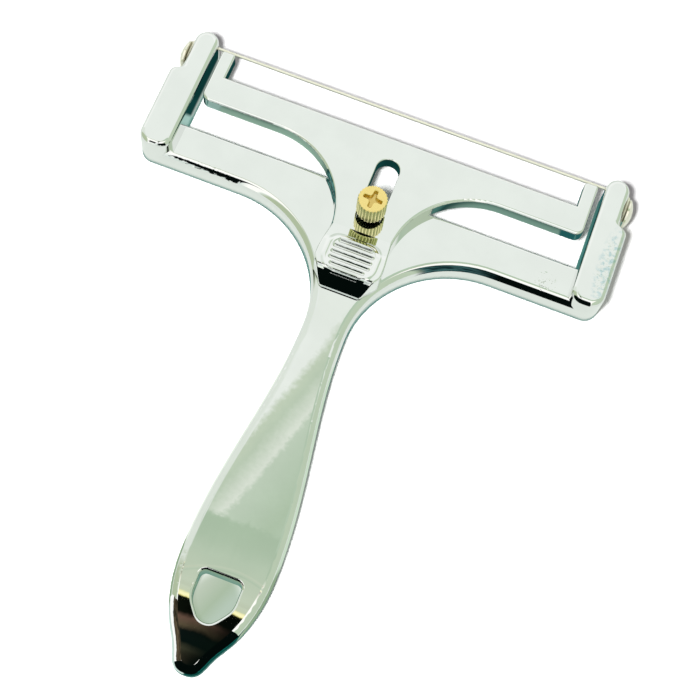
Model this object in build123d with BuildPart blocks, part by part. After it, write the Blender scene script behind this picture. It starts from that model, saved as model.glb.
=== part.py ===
from build123d import *
import math
import os

# An adjustable wire cheese slicer. +X runs along the wire, +Y from the handle to the wire
# and +Z up from the table. The origin is under the middle of the whole length.

# Room for cuts that run past a face
overrun = 2.0

# Whole casting
overall_length = 165.0
front_y = overall_length / 2
tip_y = -overall_length / 2
arm_thickness = 7.0
bottom_rounding = 0.5

# Cutting wire
wire_diameter = 0.8
wire_radius = wire_diameter / 2
wire_setback = 3.2
wire_y = front_y - wire_setback
wire_z = 9.2

# Ears that hold the wire, clear of the ends of the gauge plate
plate_half_span = 55.5
plate_side_gap = 1.9
ear_inner_x = plate_half_span + plate_side_gap
ear_far_width = 6.6
ear_near_width = 9.3
ear_length = 39.1
ear_height = 11.6
ear_relief_length = 12.3
ear_step_length = 3.5
ear_inner_corner = 3.7
ear_outer_corner = 3.9
ear_top_rounding = 1.5
ear_near_y = front_y - ear_length
relief_x = ear_inner_x + ear_far_width
ear_outer_x = ear_inner_x + ear_near_width
ear_end_radius = ear_far_width / 2

# Arms and neck
arm_depth = 11.3
arm_near_y = ear_near_y
crotch_y = arm_near_y + arm_depth
arm_end_x = ear_inner_x + ear_end_radius
shoulder_radius = 30.7
neck_half_width = 5.9
neck_y = arm_near_y - shoulder_radius
near_edge_rounding = 2.3
crotch_edge_rounding = 0.9

# Handle
handle_half_width = 12.4
handle_widest_setback = 29.4
handle_widest_y = tip_y + handle_widest_setback
handle_middle_width_share = 0.5
handle_middle_place_share = 0.5
handle_end_shares = [(0.895, 0.385), (0.677, 0.63), (0.392, 0.847)]
flat_top_setback = 77.0
flat_top_end_y = front_y - flat_top_setback
tip_top_height = 4.9
underside_lift = 1.2

# Hanging hole
hang_hole_half_width = 5.5
hang_hole_shares = [(0.56, 0.155), (0.87, 0.35)]
hang_hole_widest_share = 0.66
hang_hole_end_setback = 13.1
hang_hole_length = 12.0
hang_hole_corner = 1.6
hang_hole_rim_rounding = 0.7
hang_hole_end_y = tip_y + hang_hole_end_setback
hang_hole_top_y = hang_hole_end_y + hang_hole_length

# Sliding gauge plate
plate_thickness = 4.0
plate_bottom = arm_thickness
plate_top = plate_bottom + plate_thickness
horn_gap = 0.5
horn_end_y = wire_y - wire_radius - horn_gap
horn_width = 3.9
horn_length = 7.9
horn_inner_x = plate_half_span - horn_width
horn_tip_rounding = 0.8
wing_depth = 8.4
wing_front_y = horn_end_y - horn_length
wing_near_y = wing_front_y - wing_depth
wing_corner_rounding = 2.4
stem_half_width = 8.5
stem_radius = 24.0
stem_arc_end_y = wing_near_y - stem_radius
plate_edge_rounding = 0.7
plate_travel = 12.4

# Thumb pad of the gauge plate
pad_setback = 38.0
pad_start_y = horn_end_y - pad_setback
pad_length = 17.3
pad_end_y = pad_start_y - pad_length
pad_ramp_length = 5.6
pad_ramp_height = 2.3
pad_crest_height = 3.0
pad_wall_run = 3.4
pad_crest_y = pad_end_y + pad_wall_run
pad_half_width = 9.3
pad_widest_run = 8.5
pad_shoulder_run = 12.0
pad_end_half_width = 5.6
pad_side_blend = 9.0
pad_shoulder_blend = 3.2
pad_end_blend = 2.0
pad_ramp_blend = 4.0
pad_crest_blend = 1.0
pad_edge_rounding = 0.5
stem_end_y = min(pad_start_y, stem_arc_end_y) - pad_ramp_length / 2

# Ridged thumb pocket in the pad
pocket_half_width = 6.1
pocket_setback = 3.9
pocket_length = 9.4
pocket_dish = 0.25
pocket_corner = 3.2
pocket_far_y = pad_start_y - pocket_setback
pocket_near_y = pocket_far_y - pocket_length
pocket_far_z = plate_top + pad_ramp_height * pocket_setback / pad_ramp_length
pocket_near_z = plate_top + pad_crest_height
groove_count = 5
groove_pitch = 1.85
groove_radius = 0.75
groove_rise = 0.3
groove_end_inset = 0.9

# Screw that clamps the gauge plate
screw_setback = 31.5
screw_y = horn_end_y - screw_setback
screw_radius = 1.95
screw_root_radius = 1.6
screw_bore_clearance = 0.05
screw_bore_radius = screw_radius + screw_bore_clearance
screw_pitch = 0.7
screw_lift = 1.6
screw_tip_height = 1.8
screw_tip_chamfer = 0.4
screw_neck_length = 0.6
screw_head_radius = 4.05
screw_head_height = 6.5
screw_face_chamfer = 0.2
screw_head_bottom = plate_top + screw_lift
screw_head_top = screw_head_bottom + screw_head_height
knurl_count = 30
knurl_depth = 0.28
recess_span = 5.7
recess_width = 1.15
recess_depth = 2.3
recess_taper_degrees = 9.0
recess_turn_degrees = -4.0

# Slot in the gauge plate and the boss that guides it
slot_half_width = 3.3
guide_clearance = 0.12
guide_half_width = slot_half_width - guide_clearance
guide_half_length = 4.6
guide_height = 3.2
slot_near_y = screw_y - guide_half_length - guide_clearance
slot_far_y = screw_y + guide_half_length + guide_clearance + plate_travel
slot_middle_y = (slot_near_y + slot_far_y) / 2
slot_rim_rounding = 0.3

# Screws that hold the wire on the outer faces of the ears
clamp_setback = 4.1
clamp_y = wire_y - clamp_setback
clamp_z = 6.9
clamp_radius = 1.5
clamp_length = 5.0
clamp_bore_clearance = 0.04
clamp_bore_margin = 0.4
clamp_head_radius = 4.2
clamp_head_rim = 0.5
clamp_head_dome = 1.4
clamp_seat_gap = 0.02
clamp_head_x = relief_x + wire_diameter + 2 * clamp_seat_gap
clamp_recess_span = 4.2
clamp_recess_width = 0.9
clamp_recess_depth = 1.2

# The way of the wire through the ear and round its screw
wire_bore_radius = 0.75
wire_bend_radius = 1.1
wire_loop_x = relief_x + wire_radius + clamp_seat_gap
wire_loop_radius = clamp_radius + wire_radius + clamp_seat_gap
wire_loop_degrees = 300.0


# Frame: handle, neck and arms, cut from one plan outline by one side profile
with BuildPart() as frame:
    with BuildSketch(Plane.XY):
        with BuildLine():
            crotch = Line((0, crotch_y), (arm_end_x, crotch_y))
            arm_end = Line(crotch @ 1, (arm_end_x, arm_near_y))
            arm_near = Line(arm_end @ 1, (neck_half_width + shoulder_radius, arm_near_y))
            shoulder = RadiusArc(arm_near @ 1, (neck_half_width, neck_y), -shoulder_radius)
            middle_width = handle_half_width - neck_half_width
            middle_drop = handle_widest_y - neck_y
            handle_side = Spline(
                shoulder @ 1,
                (
                    neck_half_width + middle_width * handle_middle_width_share,
                    neck_y + middle_drop * handle_middle_place_share,
                ),
                (handle_half_width, handle_widest_y),
                tangents=[(0, -1), (0, -1)],
            )
            end_drop = tip_y - handle_widest_y
            handle_end_points = [
                (handle_half_width * width_share, handle_widest_y + end_drop * place_share)
                for width_share, place_share in handle_end_shares
            ]
            handle_end = Spline(
                handle_side @ 1,
                *handle_end_points,
                (0, tip_y),
                tangents=[(0, -1), (-1, 0)],
            )
            mirror(about=Plane.YZ)
        make_face()
    extrude(amount=arm_thickness)
    with BuildSketch(Plane.YZ):
        with BuildLine():
            rest = Line((front_y, 0), (neck_y, 0))
            under_middle = ((neck_y + tip_y) / 2, underside_lift)
            under = ThreePointArc(rest @ 1, under_middle, (tip_y, 0))
            tip_foot = Line(under @ 1, (tip_y - overrun, 0))
            tip_wall = Line(tip_foot @ 1, (tip_y - overrun, tip_top_height))
            top_arc = TangentArc((flat_top_end_y, arm_thickness), tip_wall @ 1, tangent=(-1, 0))
            top = Line(top_arc @ 0, (front_y, arm_thickness))
            front = Line(top @ 1, rest @ 0)
        make_face()
    extrude(amount=ear_outer_x, both=True, mode=Mode.INTERSECT)
    top_faces = frame.faces().filter_by(lambda face: face.normal_at().Z > face.normal_at().length / 2)
    rim = top_faces.edges().filter_by(lambda edge: edge.center().Y < arm_near_y + near_edge_rounding)
    rim = rim.filter_by(lambda edge: abs(edge.center().X) > slot_half_width)
    fillet(rim, radius=near_edge_rounding)
    crotch_edges = frame.edges().filter_by(Axis.X).group_by(Axis.Y)[-1].group_by(Axis.Z)[-1]
    fillet(crotch_edges, radius=crotch_edge_rounding)

    # Hanging hole with a rounded rim
    with BuildSketch(Plane.XY) as hole_plan:
        with BuildLine():
            hole_points = [
                (hang_hole_half_width * width_share, hang_hole_end_y + hang_hole_length * place_share)
                for width_share, place_share in hang_hole_shares
            ]
            hole_side = Spline(
                (0, hang_hole_end_y),
                *hole_points,
                (hang_hole_half_width, hang_hole_end_y + hang_hole_length * hang_hole_widest_share),
                tangents=[(1, 0), (0, 1)],
            )
            hole_right = Line(hole_side @ 1, (hang_hole_half_width, hang_hole_top_y))
            Line(hole_right @ 1, (0, hang_hole_top_y))
            mirror(about=Plane.YZ)
        make_face()
        fillet(hole_plan.vertices().group_by(Axis.Y)[-1], radius=hang_hole_corner)
    extrude(amount=arm_thickness, mode=Mode.SUBTRACT)
    hole_walls = frame.faces().filter_by(
        lambda face: abs(face.center().X) < hang_hole_half_width + hang_hole_rim_rounding
        and hang_hole_end_y - hang_hole_rim_rounding < face.center().Y < hang_hole_top_y + hang_hole_rim_rounding
        and abs(face.normal_at().Z) < face.normal_at().length / 2
    )
    hole_rim = hole_walls.edges().filter_by(
        lambda edge: edge.center().Z > arm_thickness / 2 and abs(edge.tangent_at(0).Z) < math.sqrt(1 / 2)
    )
    fillet(hole_rim, radius=hang_hole_rim_rounding)

# Right ear, with its relieved far half
with BuildPart() as ear:
    with BuildSketch(Plane.XY):
        with BuildLine():
            inner = Line((ear_inner_x, ear_near_y + ear_inner_corner), (ear_inner_x, front_y - ear_end_radius))
            far_end = ThreePointArc(
                inner @ 1,
                (ear_inner_x + ear_end_radius, front_y),
                (relief_x, front_y - ear_end_radius),
            )
            relief = Line(far_end @ 1, (relief_x, front_y - ear_relief_length))
            step = Spline(
                relief @ 1,
                (ear_outer_x, front_y - ear_relief_length - ear_step_length),
                tangents=[(0, -1), (0, -1)],
            )
            outer = Line(step @ 1, (ear_outer_x, ear_near_y + ear_outer_corner))
            outer_corner = RadiusArc(outer @ 1, (ear_outer_x - ear_outer_corner, ear_near_y), ear_outer_corner)
            near_end = Line(outer_corner @ 1, (ear_inner_x + ear_inner_corner, ear_near_y))
            RadiusArc(near_end @ 1, inner @ 0, ear_inner_corner)
        make_face()
    extrude(amount=ear_height)
    fillet(ear.faces().sort_by(Axis.Z)[-1].edges(), radius=ear_top_rounding)

# Casting: the body, both ears, the guide boss and the holes
with BuildPart() as casting:
    add(frame.part)
    add(ear.part)
    add(mirror(ear.part, about=Plane.YZ, mode=Mode.PRIVATE))
    with BuildSketch(Plane.XY.offset(arm_thickness)):
        with Locations((0, screw_y)):
            SlotOverall(2 * guide_half_length, 2 * guide_half_width, rotation=90)
    extrude(amount=guide_height)
    with Locations(Location((0, screw_y, 0))):
        Cylinder(
            screw_bore_radius,
            arm_thickness + guide_height + overrun,
            align=(Align.CENTER, Align.CENTER, Align.MIN),
            mode=Mode.SUBTRACT,
        )
    with Locations(Location((0, wire_y, wire_z), (0, 90, 0))):
        Cylinder(wire_bore_radius, 2 * (ear_outer_x + overrun), mode=Mode.SUBTRACT)
    for side in (-1, 1):
        with Locations(Location((side * relief_x, clamp_y, clamp_z), (0, -side * 90, 0))):
            Cylinder(
                clamp_radius + clamp_bore_clearance,
                2 * (clamp_length + clamp_bore_margin),
                mode=Mode.SUBTRACT,
            )
    undersides = casting.faces().filter_by(
        lambda face: face.normal_at().Z < -face.normal_at().length / 2 and face.center().Z < arm_thickness / 2
    )
    bottom_rim = ShapeList([edge for face in undersides for edge in face.outer_wire().edges()])
    bottom_rim = bottom_rim.filter_by(lambda edge: abs(edge.center().Y - neck_y) > bottom_rounding)
    fillet(bottom_rim, radius=bottom_rounding)

# Thumb pad: a plan outline cut by its side profile, then the plate around it
with BuildPart() as pad:
    with BuildSketch(Plane.XY.offset(plate_bottom)) as pad_plan:
        with BuildLine():
            pad_right = Polyline(
                (0, pad_start_y),
                (stem_half_width, pad_start_y),
                (pad_half_width, pad_start_y - pad_widest_run),
                (pad_half_width, pad_start_y - pad_shoulder_run),
                (pad_end_half_width, pad_end_y),
                (0, pad_end_y),
            )
            mirror(about=Plane.YZ)
        make_face()
        corners = pad_plan.vertices()
        fillet(corners.group_by(Axis.Y)[0], radius=pad_end_blend)
        corners = pad_plan.vertices().filter_by(lambda corner: abs(abs(corner.X) - pad_half_width) < groove_rise)
        fillet(corners.group_by(Axis.Y)[0], radius=pad_shoulder_blend)
        corners = pad_plan.vertices().filter_by(lambda corner: abs(abs(corner.X) - pad_half_width) < groove_rise)
        fillet(corners.group_by(Axis.Y)[-1], radius=pad_side_blend)
    extrude(amount=plate_thickness + pad_crest_height)
    with BuildSketch(Plane.YZ) as pad_side:
        with BuildLine():
            Polyline(
                (pad_start_y, plate_bottom),
                (pad_start_y, plate_top),
                (pad_start_y - pad_ramp_length, plate_top + pad_ramp_height),
                (pad_crest_y, plate_top + pad_crest_height),
                (pad_end_y, plate_bottom),
                (pad_start_y, plate_bottom),
            )
        make_face()
        fillet(pad_side.vertices().group_by(Axis.Y)[-2], radius=pad_ramp_blend)
        fillet(pad_side.vertices().group_by(Axis.Y)[-1], radius=pad_crest_blend)
    extrude(amount=pad_half_width + overrun, both=True, mode=Mode.INTERSECT)
    tops = pad.faces().filter_by(lambda face: face.normal_at().Z > face.normal_at().length / 4)
    pad_rim = tops.edges().filter_by(lambda edge: abs(edge.center().X) > stem_half_width / 2)
    pad_rim = pad_rim.filter_by(lambda edge: abs(edge.tangent_at(0).X) < math.sqrt(1 / 2))
    pad_rim = pad_rim.filter_by(lambda edge: edge.center().Z > plate_bottom + pad_edge_rounding)
    fillet(pad_rim, radius=pad_edge_rounding)

# T-shaped plate with a horn at each end
with BuildPart() as plate:
    with BuildSketch(Plane.XY.offset(plate_bottom)) as plate_plan:
        with BuildLine():
            wing_front = Line((0, wing_front_y), (horn_inner_x, wing_front_y))
            horn_inner = Line(wing_front @ 1, (horn_inner_x, horn_end_y))
            horn_end = Line(horn_inner @ 1, (plate_half_span, horn_end_y))
            wing_end = Line(horn_end @ 1, (plate_half_span, wing_near_y))
            wing_near = Line(wing_end @ 1, (stem_half_width + stem_radius, wing_near_y))
            stem_side = RadiusArc(wing_near @ 1, (stem_half_width, stem_arc_end_y), -stem_radius)
            stem_foot = Line(stem_side @ 1, (stem_half_width, stem_end_y))
            Line(stem_foot @ 1, (0, stem_end_y))
            mirror(about=Plane.YZ)
        make_face()
        ends = plate_plan.vertices().filter_by(lambda corner: abs(corner.X) > horn_inner_x - horn_tip_rounding)
        fillet(ends.group_by(Axis.Y)[0], radius=wing_corner_rounding)
        fillet(plate_plan.vertices().group_by(Axis.Y)[-1], radius=horn_tip_rounding)
    extrude(amount=plate_thickness)
    fillet(plate.faces().sort_by(Axis.Z)[-1].edges(), radius=plate_edge_rounding)
    with BuildSketch(Plane.XY.offset(plate_bottom)):
        with Locations((0, slot_middle_y)):
            SlotOverall(slot_far_y - slot_near_y, 2 * slot_half_width, rotation=90)
    extrude(amount=plate_thickness, mode=Mode.SUBTRACT)
    slot_rim = plate.faces().sort_by(Axis.Z)[-1].inner_wires().edges()
    fillet(slot_rim, radius=slot_rim_rounding)

# Space cut from the pad for the ridged pocket
with BuildPart() as pocket:
    with BuildSketch(Plane.YZ):
        with BuildLine():
            floor_middle = (
                (pocket_far_y + pocket_near_y) / 2,
                (pocket_far_z + pocket_near_z) / 2 - pocket_dish,
            )
            floor = ThreePointArc((pocket_far_y, pocket_far_z), floor_middle, (pocket_near_y, pocket_near_z))
            pocket_wall = Line(floor @ 1, (pocket_near_y, pocket_near_z + overrun))
            pocket_top = Line(pocket_wall @ 1, (pocket_far_y, pocket_near_z + overrun))
            Line(pocket_top @ 1, floor @ 0)
        make_face()
    extrude(amount=pocket_half_width, both=True)
    with BuildSketch(Plane.XY.offset(plate_top)):
        with Locations((0, (pocket_far_y + pocket_near_y) / 2)):
            RectangleRounded(2 * pocket_half_width, pocket_length, pocket_corner)
    extrude(amount=pad_crest_height + 2 * overrun, mode=Mode.INTERSECT)

# Grooves across the floor of the pocket, shorter towards its rounded ends
with BuildPart() as grooves:
    for index in range(groove_count):
        offset_y = (index - (groove_count - 1) / 2) * groove_pitch
        share = 0.5 + offset_y / pocket_length
        floor_z = pocket_near_z + (pocket_far_z - pocket_near_z) * share
        dish = pocket_dish * (1 - (2 * offset_y / pocket_length) ** 2)
        inset = max(0, abs(offset_y) + pocket_corner - pocket_length / 2)
        shortening = pocket_corner - math.sqrt(pocket_corner**2 - inset**2)
        half_length = pocket_half_width - groove_end_inset - shortening
        centre = (0, (pocket_far_y + pocket_near_y) / 2 + offset_y, floor_z - dish + groove_rise)
        with Locations(Location(centre, (0, 90, 0))):
            Cylinder(groove_radius, 2 * half_length)
        with Locations((-half_length, centre[1], centre[2]), (half_length, centre[1], centre[2])):
            Sphere(groove_radius)

with BuildPart() as gauge_plate:
    add(plate.part)
    add(pad.part)
    add(pocket.part, mode=Mode.SUBTRACT)
    add(grooves.part, mode=Mode.SUBTRACT)

# Knurled thumbscrew with a cross recess
screw_plane = Plane(origin=(0, screw_y, 0), x_dir=(1, 0, 0), z_dir=(0, -1, 0))
with BuildPart() as thumbscrew:
    with BuildSketch(screw_plane):
        with BuildLine():
            thread_top = screw_head_bottom - screw_neck_length
            ring_count = int((thread_top - screw_tip_height - screw_pitch) / screw_pitch)
            points = [(0, screw_tip_height), (screw_radius - screw_tip_chamfer, screw_tip_height)]
            for ring in range(ring_count):
                crest_z = thread_top - (ring_count - ring) * screw_pitch
                points.append((screw_radius, crest_z))
                points.append((screw_root_radius, crest_z + screw_pitch / 2))
            points.append((screw_radius, thread_top))
            points.append((screw_root_radius, thread_top + screw_radius - screw_root_radius))
            points.append((screw_root_radius, screw_head_bottom))
            points.append((screw_head_radius - screw_face_chamfer, screw_head_bottom))
            points.append((screw_head_radius, screw_head_bottom + screw_face_chamfer))
            points.append((screw_head_radius, screw_head_top - screw_face_chamfer))
            points.append((screw_head_radius - screw_face_chamfer, screw_head_top))
            points.append((0, screw_head_top))
            Polyline(*points, close=True)
        make_face()
    revolve(axis=Axis((0, screw_y, 0), (0, 0, 1)))
    knurl_half = math.pi * screw_head_radius / knurl_count
    with BuildSketch(Plane((0, screw_y, screw_head_bottom))):
        with PolarLocations(screw_head_radius, knurl_count):
            Polygon((-knurl_depth, 0), (knurl_depth, -2 * knurl_half), (knurl_depth, 2 * knurl_half), align=None)
    extrude(amount=screw_head_height, mode=Mode.SUBTRACT)
    with BuildSketch(Plane((0, screw_y, screw_head_top))):
        with Locations(Rotation(0, 0, recess_turn_degrees)):
            Rectangle(recess_span, recess_width)
            Rectangle(recess_width, recess_span)
    extrude(amount=-recess_depth, taper=recess_taper_degrees, mode=Mode.SUBTRACT)

# Right wire screw: a domed head over a plain shank, with a cross recess
clamp_end_x = relief_x - clamp_length
clamp_top_x = clamp_head_x + clamp_head_rim + clamp_head_dome
with BuildPart() as right_screw:
    with BuildSketch(Plane.XY.offset(clamp_z)):
        with BuildLine():
            shank_end = Line((clamp_end_x, clamp_y), (clamp_end_x, clamp_y + clamp_radius))
            shank = Line(shank_end @ 1, (clamp_head_x, clamp_y + clamp_radius))
            under_head = Line(shank @ 1, (clamp_head_x, clamp_y + clamp_head_radius))
            rim_line = Line(under_head @ 1, (clamp_head_x + clamp_head_rim, clamp_y + clamp_head_radius))
            dome = TangentArc((clamp_top_x, clamp_y), rim_line @ 1, tangent=(0, 1))
            Line(dome @ 0, shank_end @ 0)
        make_face()
    revolve(axis=Axis((0, clamp_y, clamp_z), (1, 0, 0)))
    with BuildSketch(Plane(origin=(clamp_top_x, clamp_y, clamp_z), x_dir=(0, 1, 0), z_dir=(1, 0, 0))):
        Rectangle(clamp_recess_span, clamp_recess_width)
        Rectangle(clamp_recess_width, clamp_recess_span)
    extrude(amount=-clamp_recess_depth, taper=recess_taper_degrees, mode=Mode.SUBTRACT)

with BuildPart() as left_screw:
    mirror(right_screw.part, about=Plane.YZ)

# Cutting wire: straight between the ears, through each of them and round its screw
loop_reach = math.hypot(wire_y - clamp_y, wire_z - clamp_z)
loop_bearing = math.atan2(wire_z - clamp_z, wire_y - clamp_y)
tangent_bearing = loop_bearing + math.acos(wire_loop_radius / loop_reach)


def loop_point(bearing):
    # A point of the loop, at an angle about the axis of the wire screw
    return Vector(
        wire_loop_x,
        clamp_y + wire_loop_radius * math.cos(bearing),
        clamp_z + wire_loop_radius * math.sin(bearing),
    )


with BuildPart() as right_wire:
    touch = loop_point(tangent_bearing)
    leaving = Vector(wire_loop_x, wire_y, wire_z)
    heading = (touch - leaving).normalized()
    bend_start = leaving - Vector(wire_bend_radius, 0, 0)
    bend_end = leaving + heading * wire_bend_radius
    bend_centre = bend_start + heading * wire_bend_radius
    bend_middle = bend_centre + (Vector(wire_bend_radius, 0, 0) - heading * wire_bend_radius) * math.sqrt(1 / 2)
    loop_turn = math.radians(wire_loop_degrees)
    with BuildLine() as wire_path:
        straight = Line((0, wire_y, wire_z), bend_start)
        bend = ThreePointArc(bend_start, bend_middle, bend_end)
        lead = Line(bend_end, touch)
        first_half = ThreePointArc(
            touch,
            loop_point(tangent_bearing + loop_turn / 4),
            loop_point(tangent_bearing + loop_turn / 2),
        )
        second_half = ThreePointArc(
            first_half @ 1,
            loop_point(tangent_bearing + loop_turn * 3 / 4),
            loop_point(tangent_bearing + loop_turn),
        )
    with BuildSketch(Plane(origin=(0, wire_y, wire_z), z_dir=(1, 0, 0))):
        Circle(wire_radius)
    sweep(path=wire_path.wires()[0])

with BuildPart() as cutting_wire:
    add(right_wire.part)
    mirror(right_wire.part, about=Plane.YZ)

casting.part.label = "frame"
gauge_plate.part.label = "gauge_plate"
thumbscrew.part.label = "thumbscrew"
cutting_wire.part.label = "cutting_wire"
left_screw.part.label = "left_wire_screw"
right_screw.part.label = "right_wire_screw"

os.makedirs("parts", exist_ok=True)
export_step(casting.part, "parts/frame.step")
export_step(gauge_plate.part, "parts/gauge_plate.step")
export_step(thumbscrew.part, "parts/thumbscrew.step")
export_step(cutting_wire.part, "parts/cutting_wire.step")
export_step(left_screw.part, "parts/left_wire_screw.step")
export_step(right_screw.part, "parts/right_wire_screw.step")
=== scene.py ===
"""Finishes, studio and camera of an adjustable wire cheese slicer.

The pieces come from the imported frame. This script gives each of them its finish, lays the
slicer on a pale floor and lights it with a tent of direction-dependent light, which is what
mirror plating shows. Places on the slicer are in millimetres in the slicer's own frame: X
along the wire, Y towards the wire and Z up.
"""

from __future__ import annotations

import logging
import math
from dataclasses import dataclass
from enum import Enum
from typing import Any, Mapping, Sequence, Union

import bpy
from mathutils import Matrix, Vector

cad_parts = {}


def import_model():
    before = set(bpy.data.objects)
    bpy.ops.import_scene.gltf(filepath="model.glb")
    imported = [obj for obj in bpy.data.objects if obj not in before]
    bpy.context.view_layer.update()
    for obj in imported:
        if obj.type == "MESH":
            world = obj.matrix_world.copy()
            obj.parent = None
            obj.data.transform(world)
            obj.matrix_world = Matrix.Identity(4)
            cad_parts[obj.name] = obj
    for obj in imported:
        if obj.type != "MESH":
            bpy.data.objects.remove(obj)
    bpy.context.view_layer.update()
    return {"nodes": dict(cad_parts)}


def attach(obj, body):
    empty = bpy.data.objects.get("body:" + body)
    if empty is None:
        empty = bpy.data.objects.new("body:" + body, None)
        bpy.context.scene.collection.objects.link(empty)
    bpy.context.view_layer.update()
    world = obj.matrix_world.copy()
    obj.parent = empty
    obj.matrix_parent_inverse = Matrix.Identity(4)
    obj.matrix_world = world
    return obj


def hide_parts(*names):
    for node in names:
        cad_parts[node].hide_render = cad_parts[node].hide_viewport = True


LOG = logging.getLogger("cheese_slicer")
MILLIMETRE = 0.001
DEGREE = math.pi / 180
# How much brighter the tent is than what the plating shows of it
PLATING_GAIN = 1.18

Colour = tuple[float, float, float]
Place = tuple[float, float, float]
Pair = tuple[float, float]
Number = Union[float, "Expression"]
Rows = tuple[tuple[float, ...], ...]


def tone(red: float, green: float, blue: float, gain: float = 1.0) -> Colour:
    """Turn a colour as a screen shows it into light.

    Args:
        red: Red from 0 to 255.
        green: Green from 0 to 255.
        blue: Blue from 0 to 255.
        gain: Factor on the light.

    Returns:
        The colour in linear light.
    """

    def linear(value: float) -> float:
        """Undo the screen's curve for one channel."""
        share = value / 255
        if share <= 0.04045:
            return share / 12.92
        return ((share + 0.055) / 1.055) ** 2.4

    return (linear(red) * gain, linear(green) * gain, linear(blue) * gain)


def grey(value: float) -> Colour:
    """Make a grey of a brightness."""
    return (value, value, value)


class Expression:
    """One output of a node tree, with arithmetic that adds Math nodes."""

    def __init__(self, graph: Graph, socket: bpy.types.NodeSocket) -> None:
        """Wrap an output socket of a graph."""
        self.graph = graph
        self.socket = socket

    def math(self, operation: str, *others: Number) -> Expression:
        """Apply a Math node, with the others as its further inputs."""
        values = dict(enumerate((self, *others)))
        return self.graph.node("ShaderNodeMath", {"operation": operation}, values)

    def __add__(self, other: Number) -> Expression:
        """Add."""
        return self.math("ADD", other)

    def __sub__(self, other: Number) -> Expression:
        """Subtract."""
        return self.math("SUBTRACT", other)

    def __mul__(self, other: Number) -> Expression:
        """Multiply."""
        return self.math("MULTIPLY", other)

    def __truediv__(self, other: Number) -> Expression:
        """Divide."""
        return self.math("DIVIDE", other)

    def __rsub__(self, other: float) -> Expression:
        """Subtract this from a number."""
        return self.math("MULTIPLY", -1.0) + other

    __radd__ = __add__
    __rmul__ = __mul__

    def smooth(self, low: float, high: float) -> Expression:
        """Rise smoothly from 0 at low to 1 at high.

        Args:
            low: Where the result is 0.
            high: Where the result is 1. It may be below low.

        Returns:
            The step, between 0 and 1.
        """
        settings = {"interpolation_type": "SMOOTHSTEP"}
        ends = (1.0, 0.0) if low > high else (0.0, 1.0)
        values = {0: self, 1: min(low, high), 2: max(low, high), 3: ends[0], 4: ends[1]}
        return self.graph.node("ShaderNodeMapRange", settings, values)

    def band(self, middle: float, half_width: float, edge: float) -> Expression:
        """Be 1 within half a width of the middle, with a soft edge on both sides, and 0 beyond."""
        away = (self - middle).math("ABSOLUTE")
        return away.smooth(half_width + edge, half_width)


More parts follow.
